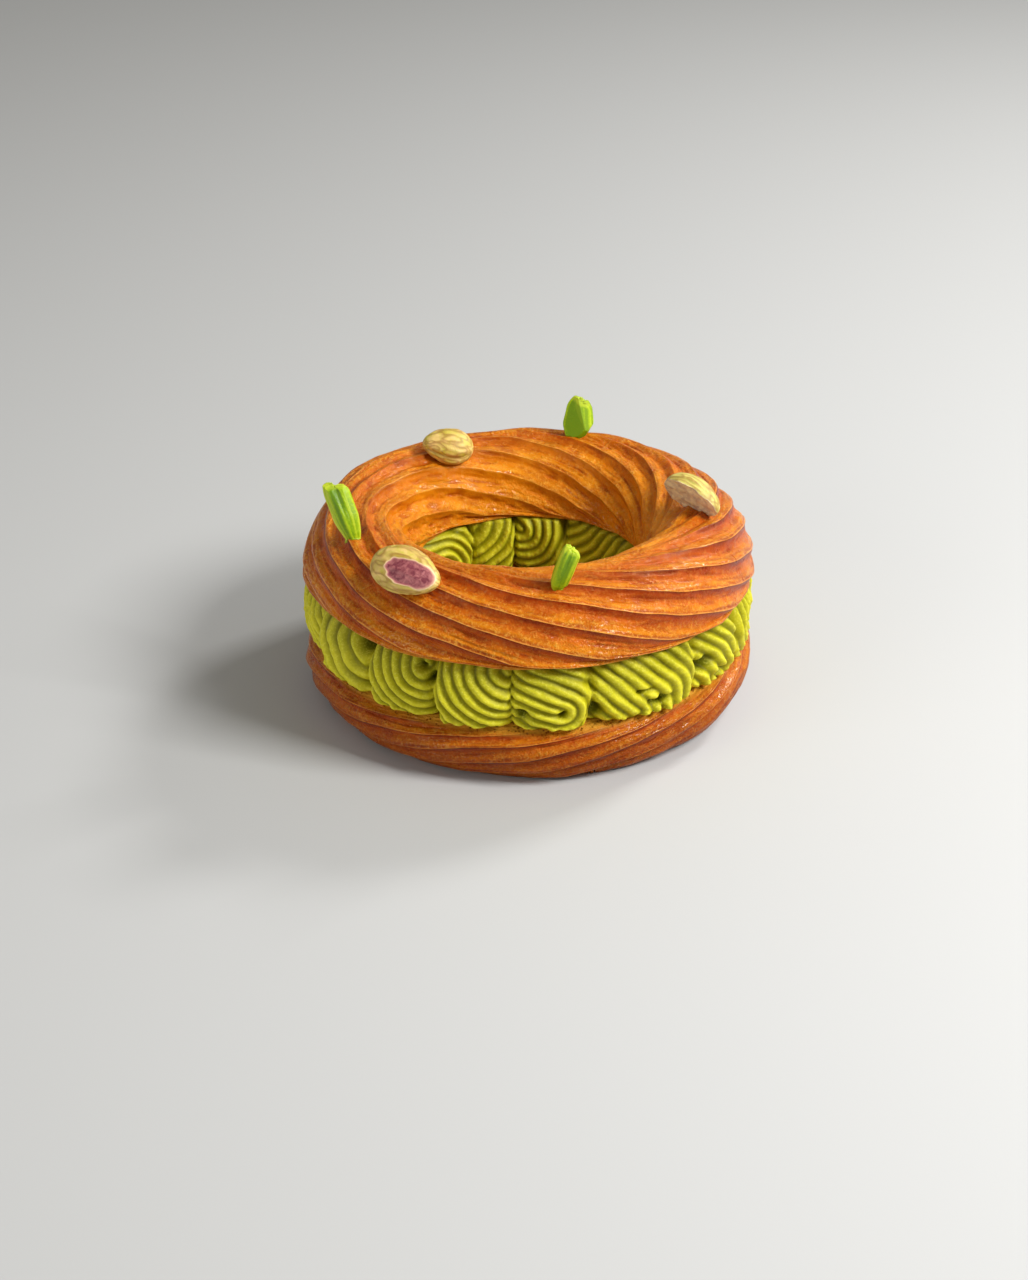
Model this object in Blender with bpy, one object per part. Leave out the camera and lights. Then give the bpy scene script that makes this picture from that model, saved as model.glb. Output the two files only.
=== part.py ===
"""A Paris-Brest with pistachio cream, modelled for Blender 4.5 in metres with +Z up.

A ring of choux pastry is cut level into a base and a lid. A ring of piped cream swirls fills it, and
three nut kernels and three green nut slivers sit on the lid. The origin is the middle of the resting
face, and the front of the pastry looks along -Y.
"""

import math
from collections import namedtuple

import bmesh
import bpy
from mathutils import Matrix, Vector, noise

MM = 0.001
GAP = 0.3 * MM

# The ring, seen from above
RING_RADIUS = 38.2 * MM  # from the axis to the middle of the dough
DOUGH_HALF_WIDTH = 11.9 * MM

# The base, a squashed roll of dough with a level cut on top
BASE_WIDEST_Z = 9.3 * MM
BASE_CUT_Z = 13.6 * MM
BASE_BELOW_FLOOR = 0.6 * MM  # what the floor flattens
BASE_UPPER_BULGE = 5.6 * MM
BASE_SQUARENESS = 2.15

# The lid, a domed roll that curls under to its cut edge
LID_WIDEST_Z = 30.2 * MM
LID_DOME = 14.0 * MM
LID_CURL = 4.0 * MM
SEAM_Z = 28.0 * MM  # the top of the cream, on the ring's axis
SEAM_TILT = 0.7 / 38.2  # the lid sits a little higher at the front

# The ridges that a star nozzle leaves, which wind round the dough as a helix
RIDGES_ROUND = 17
RIDGE_TURNS = 13
STEEPEST_AT = math.radians(60)  # here the ridges run most steeply, and opposite most gently
STEEPNESS_CHANGE = 0.33
RIDGE_START = math.radians(38)
RIDGE_HEIGHT = 1.4 * MM
RIDGE_WANDER = 0.6
RIDGE_RIPPLE = 0.16
CREST_ROUNDING = 0.1
VALLEY_SHARE = 0.42  # where the valley lies on the way down from one crest to the next
CRUST_UNEVENNESS = 0.02

# The cream, piped as swirls side by side
# edge: the azimuth where a swirl starts. pivot: azimuth and height in mm of the point that its grooves
# curl round. towards: the direction of the ray from there, 0 along the ring and 90 up. Angles in degrees.
Swirl = namedtuple("Swirl", "edge pivot towards pitch")
OUTER_MEASURED = (
    Swirl(edge=-68, pivot=(-45, 27.0), towards=90, pitch=4.2 * MM),
    Swirl(edge=-45, pivot=(-27, 26.5), towards=90, pitch=2.4 * MM),
    Swirl(edge=-25, pivot=(-3.5, 29.0), towards=90, pitch=2.45 * MM),
    Swirl(edge=-4.5, pivot=(7.8, 18.6), towards=158, pitch=2.4 * MM),
    Swirl(edge=16, pivot=(28, 15.0), towards=135, pitch=2.65 * MM),
    Swirl(edge=48, pivot=(42, 10.0), towards=140, pitch=2.6 * MM),
)
INNER_MEASURED = (
    Swirl(edge=117, pivot=(170, 36.0), towards=90, pitch=2.5 * MM),
    Swirl(edge=161, pivot=(184.5, 25.0), towards=25, pitch=2.3 * MM),
    Swirl(edge=187, pivot=(206, 23.0), towards=30, pitch=2.5 * MM),
    Swirl(edge=210, pivot=(235, 17.0), towards=5, pitch=2.2 * MM),
)
OUTER_REST = (66, 11)  # where the swirls that aren't seen start, and how many they are
INNER_REST = (248, 9)
USUAL_PIVOT_HEIGHT = 26.5
USUAL_PITCH = 2.4 * MM
EDGE_UNEVENNESS = 1.8  # degrees
CREAM_OUTER_RADIUS = 45.2 * MM
CREAM_INNER_RADIUS = 29.6 * MM
OUTER_SURFACE_RADIUS = 48.5 * MM  # where the grooves' distances are measured
INNER_SURFACE_RADIUS = 26.5 * MM
CREAM_BULGE = 3.6 * MM
SWIRL_STEP = 1.8 * MM
NOTCH_DEPTH = 2.8 * MM  # between two swirls, at their feet and tops
NOTCH_WIDTH = 0.14  # as a share of a swirl's width
GROOVE_SHARE = 0.42  # a groove's depth as a share of its pitch
WIDEST_GROOVE = 3.0 * MM
CUT_AWAY = 1.5 * MM  # cream above and below the two level cuts

# The kernels: length, width and thickness
FRONT_KERNEL = (17.8 * MM, 10.8 * MM, 7.6 * MM)
BACK_KERNEL = (12.0 * MM, 9.2 * MM, 7.4 * MM)
RIGHT_KERNEL = (15.0 * MM, 10.2 * MM, 9.0 * MM)

# The slivers of green nut. foot: the width at the foot as a share of the whole. bend: how far the top
# leans aside, as a share of the length. facets: planes where the piece is broken off, each a direction
# and a distance in mm.
Sliver = namedtuple("Sliver", "length width thickness lobes foot bend facets")
LEFT_SLIVER = Sliver(
    13.6 * MM, 5.4 * MM, 4.2 * MM, lobes=4, foot=0.62, bend=-0.03, facets=((0.2, -0.5, 0.8, 10.9),)
)
BACK_SLIVER = Sliver(
    9.8 * MM, 7.6 * MM, 5.6 * MM, lobes=3, foot=0.62, bend=0.06,
    facets=((0.62, -0.68, 0.4, 3.9), (-0.3, -0.95, 0.1, 1.7), (0.8, -0.3, -0.3, 1.9)),
)
FRONT_SLIVER = Sliver(
    10.8 * MM, 4.3 * MM, 3.6 * MM, lobes=3, foot=0.86, bend=0.04, facets=((-0.75, 0.0, 0.66, 6.6),)
)
SLIVER_RINGS = 8
SLIVER_SIDES = 16
SINK = 1.0 * MM  # how deep a topping settles between the ridges

# Points round the ring and round its section before the faces are thinned out, and the share then kept
CRUST_DETAIL = (216, 132)
CREAM_DETAIL = (760, 60)
LID_KEPT = 0.07
BASE_KEPT = 0.039
CREAM_KEPT = 0.043
KNIFE_SIZE = 0.3


def clear_scene():
    for obj in list(bpy.data.objects):
        bpy.data.objects.remove(obj, do_unlink=True)


def make_material(name, colour, roughness):
    material = bpy.data.materials.new(name)
    material.use_nodes = True
    shader = material.node_tree.nodes["Principled BSDF"]
    shader.inputs["Base Color"].default_value = (*colour, 1.0)
    shader.inputs["Roughness"].default_value = roughness
    shader.inputs["Metallic"].default_value = 0.0
    material.diffuse_color = (*colour, 1.0)
    return material


def smooth(t):
    t = min(max(t, 0.0), 1.0)
    return t * t * (3 - 2 * t)


def ring_point(u, r, z):
    """A point at azimuth u, counted from the front towards +X."""
    return Vector((r * math.sin(u), -r * math.cos(u), z))


def wander(u, v, scale, seed):
    """Smooth noise from -1 to 1 that closes on itself round the ring."""
    return noise.noise(Vector((scale * math.sin(u), scale * math.cos(u), scale * 0.35 * v + seed)))


def side_of(v):
    """0 on the outer side of the roll and 1 on the inner side, with a soft change over the top."""
    return smooth((math.degrees(v) - 70) / 40)


def ridge(u, v, turns):
    """Height of the piped ridges: 1 on a crest and 0 in the valley, which lies close under a crest."""
    run = u + STEEPNESS_CHANGE * math.sin(u - STEEPEST_AT)
    stray = RIDGE_WANDER * wander(u, v, 2.2, 7.0) + RIDGE_RIPPLE * wander(u, v, 6.0, 41.0)
    phase = (RIDGES_ROUND * v + turns * run) / 2 - RIDGE_START + stray
    share = (phase / math.pi) % 1.0
    side = side_of(v)
    valley = 1 - VALLEY_SHARE + (2 * VALLEY_SHARE - 1) * side
    above_valley = share >= valley
    away = (1 - share) / (1 - valley) if above_valley else share / valley
    hollow = 1 + CREST_ROUNDING - math.hypot(math.sin(away * math.pi / 2), CREST_ROUNDING)
    bulging = 0.65 * hollow + 0.35 * (1 - away * away)
    steep = 1 - side if above_valley else side
    return (steep * hollow + (1 - steep) * bulging) * (0.78 + 0.5 * wander(u, v, 3.0, 31.0))


def object_from_grid(name, stations, rows, point, material):
    """A closed ring from a grid of points: u runs round the axis and t from 0 to 1 round the section."""
    mesh = bpy.data.meshes.new(name)
    build = bmesh.new()
    grid = [
        [build.verts.new(point(2 * math.pi * i / stations, j / rows)) for j in range(rows)]
        for i in range(stations)
    ]
    for i in range(stations):
        here, after = grid[i], grid[(i + 1) % stations]
        for j in range(rows):
            k = (j + 1) % rows
            build.faces.new((here[j], after[j], after[k], here[k]))
    bmesh.ops.recalc_face_normals(build, faces=build.faces)
    build.to_mesh(mesh)
    build.free()
    return add_object(name, mesh, material)


def add_object(name, mesh, material):
    obj = bpy.data.objects.new(name, mesh)
    bpy.context.scene.collection.objects.link(obj)
    mesh.materials.append(material)
    mesh.shade_smooth()
    mesh.set_sharp_from_angle(angle=math.radians(50))
    return obj


def keep_share(obj, share):
    """Leaves this share of the faces, most of them where the surface bends."""
    decimate = obj.modifiers.new("Fewer faces", "DECIMATE")
    decimate.ratio = share


def knife(name, z, tilt, side):
    """A block whose face is a level cut at z, tilted about X. It takes away what is above it or below."""
    mesh = bpy.data.meshes.new(name)
    build = bmesh.new()
    bmesh.ops.create_cube(build, size=KNIFE_SIZE)
    build.to_mesh(mesh)
    build.free()
    block = bpy.data.objects.new(name, mesh)
    bpy.context.scene.collection.objects.link(block)
    to_its_face = Matrix.Translation((0, 0, side * KNIFE_SIZE / 2))
    block.matrix_world = Matrix.Translation((0, 0, z)) @ Matrix.Rotation(tilt, 4, "X") @ to_its_face
    block.hide_render = True
    block.display_type = "WIRE"
    return block


def cut_by(obj, cutter, solver="EXACT"):
    cut = obj.modifiers.new(cutter.name, "BOOLEAN")
    cut.operation = "DIFFERENCE"
    cut.solver = solver
    cut.object = cutter


def section_angle(t):
    """From the underside out and over the top, so that a ring's first row lies in what is cut away."""
    return 2 * math.pi * t - math.pi / 2


def lid_point(u, t, proud=0.0):
    """The lid's roll before it is cut: a dome that curls under below its widest level."""
    v = section_angle(t)
    lift = SEAM_TILT * RING_RADIUS * math.cos(u)
    rise = LID_DOME if math.sin(v) > 0 else LID_CURL
    fade = smooth(3 + 3.6 * math.sin(v))  # no ridges where the roll turns under
    bump = RIDGE_HEIGHT * ridge(u, v, RIDGE_TURNS) * fade + proud
    uneven = 1 + CRUST_UNEVENNESS * wander(u, v, 1.3, 3.0)
    r = RING_RADIUS + (DOUGH_HALF_WIDTH * uneven + bump) * math.cos(v)
    z = LID_WIDEST_Z + lift + (rise * uneven + bump) * math.sin(v)
    return ring_point(u, r, z)


def base_point(u, t):
    """The base's roll before it is cut: rounder below its widest level than above it."""
    v = section_angle(t)
    squash = 2 / BASE_SQUARENESS
    out = math.copysign(abs(math.cos(v)) ** squash, math.cos(v))
    up = math.copysign(abs(math.sin(v)) ** squash, math.sin(v))
    rise = BASE_UPPER_BULGE if up > 0 else BASE_WIDEST_Z + BASE_BELOW_FLOOR
    uneven = 1 + CRUST_UNEVENNESS * wander(u, v, 1.3, 11.0)
    fade = smooth(1.2 - 1.6 * up) * smooth(6 + 6 * up)  # none at the shoulder and under the base
    bump = RIDGE_HEIGHT * ridge(u, v, -RIDGE_TURNS) * fade
    r = RING_RADIUS + (DOUGH_HALF_WIDTH * uneven + bump) * out
    z = BASE_WIDEST_Z + (rise * uneven + bump) * up
    return ring_point(u, r, z)


def whole_ring(measured, rest):
    """The swirls that were measured, followed by usual ones that share out the rest of the ring."""
    end, others = rest
    left = measured[0].edge + 360 - end
    edges = [end + left * k / others + EDGE_UNEVENNESS * math.sin(2.4 * k) for k in range(others)]
    edges.append(measured[0].edge + 360)
    swirls = list(measured)
    for start, stop in zip(edges, edges[1:]):
        swirls.append(Swirl(start, (stop, USUAL_PIVOT_HEIGHT), 90, USUAL_PITCH))
    return swirls


OUTER_SWIRLS = whole_ring(OUTER_MEASURED, OUTER_REST)
INNER_SWIRLS = whole_ring(INNER_MEASURED, INNER_REST)


def swirl_at(u, swirls):
    """(swirl, azimuth in its own count, share of its width) at azimuth u."""
    first = swirls[0].edge
    degrees = (math.degrees(u) - first) % 360 + first
    ends = [swirl.edge for swirl in swirls[1:]] + [first + 360]
    for swirl, end in zip(swirls, ends):
        if degrees < end:
            return swirl, degrees, (degrees - swirl.edge) / (end - swirl.edge)
    return swirls[0], first, 0.0


def distance_to_ray(aside, off, towards):
    """Distance of a point from a ray that starts at zero and points in this direction, in degrees."""
    x, z = math.cos(math.radians(towards)), math.sin(math.radians(towards))
    run = max(aside * x + off * z, 0.0)
    return math.hypot(aside - run * x, off - run * z)


def swirl_relief(u, z, inner):
    """How far the piped cream stands out, at azimuth u and height z.

    A swirl's grooves curl round its pivot and then run straight on. It is proudest near the edge that is
    further from the pivot, where it meets its neighbour in a step, and falls away to the other edge.
    """
    swirl, degrees, p = swirl_at(u, INNER_SWIRLS if inner else OUTER_SWIRLS)
    q = (z - BASE_CUT_Z + CUT_AWAY) / (SEAM_Z - BASE_CUT_Z + 2 * CUT_AWAY)
    ends = min(abs(2 * q - 1), 1.0)  # 0 halfway up the cream and 1 at its foot and top
    far = p if swirl.towards <= 90 else 1 - p
    step = smooth(far / 0.14) * (1 - 0.65 * far * far) * smooth((1 - far) / 0.05)
    notch = math.exp(-((min(p, 1 - p) / NOTCH_WIDTH) ** 2)) * ends**1.5
    surface = INNER_SURFACE_RADIUS if inner else OUTER_SURFACE_RADIUS
    aside = math.radians(degrees - swirl.pivot[0]) * surface
    reach = distance_to_ray(aside, z - swirl.pivot[1] * MM, swirl.towards)
    phase = 2 * math.pi * reach / swirl.pitch + 1.5 * wander(u, 150 * z, 4.0, swirl.edge)
    groove = (0.5 + 0.5 * math.cos(phase)) ** 0.75
    proud = CREAM_BULGE * (1 - ends**2.6) ** 0.6 * (0.75 + 0.25 * step) + SWIRL_STEP * step
    return proud + GROOVE_SHARE * min(swirl.pitch, WIDEST_GROOVE) * groove - NOTCH_DEPTH * notch


def cream_point(u, t):
    """The cream before it is cut level: t runs up the outer side and then down the inner one."""
    outer = t < 0.5
    q = 2 * t if outer else 2 - 2 * t - 2 / CREAM_DETAIL[1]
    z = BASE_CUT_Z - CUT_AWAY + q * (SEAM_Z - BASE_CUT_Z + 2 * CUT_AWAY)
    if outer:
        r = CREAM_OUTER_RADIUS + swirl_relief(u, z, False)
    else:
        r = CREAM_INNER_RADIUS - swirl_relief(u, z, True)
    return ring_point(u, r, z)


def seat(u, v, heading, lean):
    """Where a topping stands: local Z along the lid's normal, X at an angle to the ring's run, in degrees."""
    u, v = math.radians(u), math.radians(v)
    here = lid_point(u, (v + math.pi / 2) / (2 * math.pi))
    normal = Vector((math.cos(v) * math.sin(u), -math.cos(v) * math.cos(u), math.sin(v)))
    along = Vector((math.cos(u), math.sin(u), 0.0))
    across = normal.cross(along)
    turn = Matrix((along, across, normal)).transposed().to_4x4()
    spin = Matrix.Rotation(math.radians(heading), 4, "Z") @ Matrix.Rotation(math.radians(lean), 4, "Y")
    return Matrix.Translation(here) @ turn @ spin


def kernel(name, size, place, material, half=False):
    """A shelled nut: an egg with one blunt end, a fold along its side and a wrinkled skin."""
    length, width, thickness = size
    build = bmesh.new()
    bmesh.ops.create_icosphere(build, subdivisions=3, radius=1.0)
    for vertex in build.verts:
        x, y, z = vertex.co
        taper = 1 - 0.16 * x - 0.06 * x * x
        wrinkle = 1 + 0.05 * noise.noise(Vector((1.5 * x, 4 * y, 4 * z + length / MM)))
        fold = 1 - 0.10 * math.exp(-((z - 0.1) / 0.16) ** 2) * smooth((y - 0.2) / 0.5)
        y, z = y * taper * wrinkle * fold, z * taper * wrinkle * fold
        if half:
            z = max(z, -0.12 + 0.05 * noise.noise(Vector((3 * x, 3 * y, 2.0))))
        vertex.co = (x * length / 2, y * width / 2, z * thickness / 2)
    bmesh.ops.transform(build, matrix=place, verts=build.verts)
    return topping(name, build, material)


def sliver(name, form, place, material):
    """A split piece of green nut: a flat rod, fluted along its length and broken off at its facets."""
    build = bmesh.new()
    grid = []
    for i in range(SLIVER_RINGS):
        s = i / (SLIVER_RINGS - 1)
        swell = form.foot + (1 - form.foot) * smooth(2.2 * s)
        swell *= (1 - 0.3 * max(5 * s - 4, 0.0) ** 2) * (0.78 + 0.22 * smooth(7 * s))
        row = []
        for j in range(SLIVER_SIDES):
            angle = 2 * math.pi * j / SLIVER_SIDES
            x, y = math.cos(angle), math.sin(angle)
            flute = 1 + 0.08 * math.cos(form.lobes * angle + 0.6)
            flute += 0.07 * noise.noise(Vector((2.2 * x, 2.2 * y, 0.9 * s + form.lobes)))
            across = swell * flute * x * form.width / 2 + form.bend * form.length * s * s
            top = form.length * (s - 0.06 * x * (s == 1.0))
            point = Vector((across, swell * flute * y * form.thickness / 2, top))
            for *direction, distance in form.facets:
                facing = Vector(direction).normalized()
                point -= facing * max(point.dot(facing) - distance * MM, 0.0)
            row.append(build.verts.new(point))
        grid.append(row)
    for lower, upper in zip(grid, grid[1:]):
        for j in range(SLIVER_SIDES):
            k = (j + 1) % SLIVER_SIDES
            build.faces.new((lower[j], lower[k], upper[k], upper[j]))
    build.faces.new(grid[0][::-1])
    build.faces.new(grid[-1])
    bmesh.ops.transform(build, matrix=place, verts=build.verts)
    return topping(name, build, material)


def topping(name, build, material):
    mesh = bpy.data.meshes.new(name)
    bmesh.ops.recalc_face_normals(build, faces=build.faces)
    build.to_mesh(mesh)
    build.free()
    return add_object(name, mesh, material)


def above(place, distance, tilt=0.0):
    """The same place, moved along its own Z and then turned about its own X, in degrees."""
    return place @ Matrix.Translation((0, 0, distance)) @ Matrix.Rotation(math.radians(tilt), 4, "X")


def make_choux(crust):
    stations, rows = CRUST_DETAIL
    base = object_from_grid("choux_base", stations, rows, base_point, crust)
    keep_share(base, BASE_KEPT)
    cut_by(base, knife("floor_knife", 0.0, 0.0, -1))
    cut_by(base, knife("base_knife", BASE_CUT_Z, 0.0, 1))
    lid = object_from_grid("choux_lid", stations, rows, lid_point, crust)
    keep_share(lid, LID_KEPT)
    cut_by(lid, knife("lid_knife", SEAM_Z + GAP, -math.atan(SEAM_TILT), -1))


def make_cream(cream):
    stations, rows = CREAM_DETAIL
    ring = object_from_grid("pistachio_cream", stations, rows, cream_point, cream)
    keep_share(ring, CREAM_KEPT)
    cut_by(ring, knife("cream_foot_knife", BASE_CUT_Z + GAP, 0.0, -1), "MANIFOLD")
    cut_by(ring, knife("cream_top_knife", SEAM_Z, -math.atan(SEAM_TILT), 1), "MANIFOLD")


def make_lid_cutter(crust):
    """The lid's roll, larger by the gap: it takes from a topping what would sink into the lid."""
    stations, rows = CRUST_DETAIL
    cutter = object_from_grid("lid_cutter", stations, rows, lambda u, t: lid_point(u, t, GAP), crust)
    keep_share(cutter, LID_KEPT)
    cutter.hide_render = True
    cutter.display_type = "WIRE"
    return cutter


def make_toppings(skin, green, cutter):
    place = above(seat(-35, 62, -4, 0), FRONT_KERNEL[2] / 2 - SINK)
    pieces = [kernel("kernel_front", FRONT_KERNEL, place, skin)]
    place = above(seat(-145, 110, -33, 0), BACK_KERNEL[2] / 2 - SINK)
    pieces.append(kernel("kernel_back", BACK_KERNEL, place, skin))
    place = above(seat(82, 98, -125, 12), 0.88 * RIGHT_KERNEL[1] / 2 - SINK, -66)
    pieces.append(kernel("kernel_right", RIGHT_KERNEL, place, skin, half=True))
    pieces.append(sliver("sliver_left", LEFT_SLIVER, above(seat(-64, 70, 68, 0), -SINK, -27), green))
    pieces.append(sliver("sliver_back", BACK_SLIVER, above(seat(164, 84, 200, 8), -SINK), green))
    pieces.append(sliver("sliver_front", FRONT_SLIVER, above(seat(8.5, 74, 5, 12), -SINK), green))
    for piece in pieces:
        cut_by(piece, cutter)


def main():
    clear_scene()
    crust = make_material("choux_crust", (0.50, 0.17, 0.03), 0.45)
    cream = make_material("pistachio_cream", (0.42, 0.46, 0.05), 0.6)
    skin = make_material("kernel_skin", (0.56, 0.44, 0.17), 0.55)
    green = make_material("green_nut", (0.22, 0.50, 0.04), 0.5)
    make_choux(crust)
    make_cream(cream)
    make_toppings(skin, green, make_lid_cutter(crust))


main()
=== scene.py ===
# %% [markdown]
# # A Paris-Brest with pistachio cream
#
# A Paris-Brest is a ring of choux pastry, piped with a star nozzle, baked, cut level and filled. This lesson
# dresses its plain solids: a finer mesh of the same form replaces each, with a material made of shader nodes.
# The solids say where everything is, so they are loaded first, and nothing here moves them.

# %% Load the plain solids
import math
from collections import namedtuple

import bmesh
import bpy
from mathutils import Matrix, Vector, noise
from mathutils.bvhtree import BVHTree


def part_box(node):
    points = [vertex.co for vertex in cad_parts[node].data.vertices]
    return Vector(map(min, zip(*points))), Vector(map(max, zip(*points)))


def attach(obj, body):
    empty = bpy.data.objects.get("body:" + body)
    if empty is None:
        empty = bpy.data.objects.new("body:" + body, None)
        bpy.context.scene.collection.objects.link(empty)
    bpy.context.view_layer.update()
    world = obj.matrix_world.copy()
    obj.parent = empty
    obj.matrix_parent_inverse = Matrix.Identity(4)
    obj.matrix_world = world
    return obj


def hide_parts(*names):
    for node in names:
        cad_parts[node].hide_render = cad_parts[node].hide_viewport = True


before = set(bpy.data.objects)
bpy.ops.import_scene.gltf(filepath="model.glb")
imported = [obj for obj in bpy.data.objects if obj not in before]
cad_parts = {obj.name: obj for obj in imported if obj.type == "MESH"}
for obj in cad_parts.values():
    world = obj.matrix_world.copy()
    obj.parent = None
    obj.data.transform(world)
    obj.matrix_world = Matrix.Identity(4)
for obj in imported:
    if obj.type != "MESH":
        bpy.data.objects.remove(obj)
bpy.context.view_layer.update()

MM = 0.001
print("solids:", ", ".join(sorted(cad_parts)))

# %% [markdown]
# ## The sizes of the ring
#
# The dough is a roll bent into a ring. A point on it has two angles: `u` runs round the axis, from the front
# towards the right, and `v` round the roll's section, from the outer side over the top to the inner side. The
# base's cut is read from its solid, and the other sizes are the solids' own.

# %% Sizes of the ring
GAP = 0.3 * MM
RING_RADIUS = 38.2 * MM
DOUGH_HALF_WIDTH = 11.9 * MM
BASE_CUT_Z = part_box("choux_base")[1][2]
BASE_WIDEST_Z = 9.3 * MM
BASE_BELOW_FLOOR = 0.6 * MM
BASE_UPPER_BULGE = 5.6 * MM
BASE_SQUARENESS = 2.15
LID_WIDEST_Z = 30.2 * MM
LID_DOME = 14.0 * MM
LID_CURL = 4.0 * MM
SEAM_Z = 28.0 * MM
SEAM_TILT = 0.7 * MM / RING_RADIUS
ROLL_UNEVENNESS = 0.02
print(f"the base is cut at {BASE_CUT_Z / MM:.1f} mm, and the cream's top lies at {SEAM_Z / MM:.1f} mm")

# %% Smooth steps and smooth noise
def smooth(t):
    t = min(max(t, 0.0), 1.0)
    return t * t * (3 - 2 * t)


def noise_at(x, y, z):
    return noise.noise(Vector((x, y, z)))


def wander(u, v, scale, seed):
    """Smooth noise from -1 to 1 that closes on itself round the ring."""
    return noise_at(scale * math.sin(u), scale * math.cos(u), scale * 0.35 * v + seed)


def seam_height(u, r):
    """Height of the cream's flat top, which rises a little towards the front."""
    return SEAM_Z + SEAM_TILT * r * math.cos(u)


# %% [markdown]
# ## The ridges of the star nozzle
#
# A star nozzle leaves ridges along the dough, and the baker turns the bag while piping, so they wind round
# the ring as a helix. That is a straight line in `u` and `v`, so one phase that grows with both gives every
# ridge at once: where it passes a whole number of half turns, there is a crest. Ridges could be sculpted by
# hand, but a formula keeps them even and closes round the ring by itself. A little noise in the phase makes
# some nearly merge, as the real ones do.

# %% Ridges
RIDGES_ROUND = 17
RIDGE_TURNS = 13
STEEPEST_AT = math.radians(60)
STEEPNESS_CHANGE = 0.33
RIDGE_START = math.radians(38)
RIDGE_HEIGHT = 1.4 * MM
RIDGE_WANDER = 0.6
RIDGE_RIPPLE = 0.16
CREST_ROUNDING = 0.1
VALLEY_SHARE = 0.42  # where the valley lies between a crest and the next one down
FLANK_BULGE = 0.35
RIDGE_EVEN, RIDGE_UNEVEN = 0.78, 0.5


def ridge_phase(u, v, turns):
    run = u + STEEPNESS_CHANGE * math.sin(u - STEEPEST_AT)
    stray = RIDGE_WANDER * wander(u, v, 2.2, 7.0) + RIDGE_RIPPLE * wander(u, v, 6.0, 41.0)
    return (RIDGES_ROUND * v + turns * run) / 2 - RIDGE_START + stray


def side_of(v):
    """0 on the outer side of the roll and 1 on the inner side, with a soft change over the top."""
    return smooth((math.degrees(v) - 70) / 40)


def ridge(u, v, phase):
    """Height of a ridge: 1 on a crest and 0 in the valley, which lies close under the crest above it."""
    share = (phase / math.pi) % 1.0
    side = side_of(v)
    valley = 1 - VALLEY_SHARE + (2 * VALLEY_SHARE - 1) * side
    above_valley = share >= valley
    away = (1 - share) / (1 - valley) if above_valley else share / valley
    hollow = 1 + CREST_ROUNDING - math.hypot(math.sin(away * math.pi / 2), CREST_ROUNDING)
    bulging = (1 - FLANK_BULGE) * hollow + FLANK_BULGE * (1 - away * away)
    steep = 1 - side if above_valley else side
    height = steep * hollow + (1 - steep) * bulging
    return height * (RIDGE_EVEN + RIDGE_UNEVEN * wander(u, v, 3.0, 31.0))


# %% [markdown]
# ## The baked skin
#
# Up close the crust has fine creases along its ridges, where the skin stretched as the dough rose, and low
# blisters from steam. Both are made from noise, which is drawn out long and narrow for the creases.

# %% Creases and blisters
CREASE_HEIGHT = 0.34 * MM
CREASE_ON_CREST = 0.35  # how much of its height a crease keeps on a crest
CREASES_PER_RIDGE = 5.0
CREASE_LENGTH = 0.16  # radians round the ring
BLISTER_SIZE = 2.1 * MM
BLISTER_HEIGHT = 0.34 * MM
OVERLAP = math.radians(20)  # where the pattern is blended into its own start


def along_ridges(u, phase, turns):
    """Noise drawn out along the ridges. Near the back of the ring it fades into its own start."""
    def sample(angle, across):
        return noise_at(CREASES_PER_RIDGE * across / math.pi, angle / CREASE_LENGTH, 5.0)

    side = math.copysign(1.0, u)
    share = 0.5 * smooth((abs(u) - math.pi + OVERLAP) / OVERLAP)
    value = sample(u, phase)
    if share > 0:
        full_turn = 2 * math.pi * side
        value = (1 - share) * value + share * sample(u - full_turn, phase - turns * full_turn / 2)
    return value


def skin_relief(u, v, phase, turns, spot):
    crease = 1 - 2 * abs(along_ridges(u, phase, turns))
    blister = max(noise.noise(spot / BLISTER_SIZE) - 0.08, 0.0) ** 1.3
    flank = smooth(1.6 * abs(math.sin(phase)))
    kept = CREASE_ON_CREST + (1 - CREASE_ON_CREST) * flank
    return CREASE_HEIGHT * (crease - 0.5) * kept + BLISTER_HEIGHT * blister * flank


# %% [markdown]
# ## From sections to a mesh
#
# Every ring is made the same way: at many azimuths we work out one closed section, a list of points, and
# join each section to the next. Each point also carries marks, such as its place between two crests. They
# become attributes of the mesh, which the materials read to put colour exactly where the form asks for it.
# That is surer than painting a texture, and it can't slide.
#
# A crest that runs slantwise over a regular mesh turns into a staircase. Two things avoid that: every section
# has a point exactly on each crest, and the faces are split into triangles along the crests.

# %% A ring from its sections
def new_object(name, data):
    made = bpy.data.objects.new(name, data)
    bpy.context.scene.collection.objects.link(made)
    return made


def add_piece(name, points, faces, labels=(), marks=()):
    """marks holds a tuple for each point, with a value for each label."""
    mesh = bpy.data.meshes.new(name + "_mesh")
    mesh.from_pydata(points, [], faces)
    for label, values in zip(labels, zip(*marks)):
        mesh.attributes.new(label, "FLOAT", "POINT").data.foreach_set("value", values)
    mesh.shade_smooth()
    print(f"{name}: {len(points)} points, {len(faces)} faces")
    return new_object(name, mesh)


def around(u, r, z):
    return Vector((r * math.sin(u), -r * math.cos(u), z))


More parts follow.
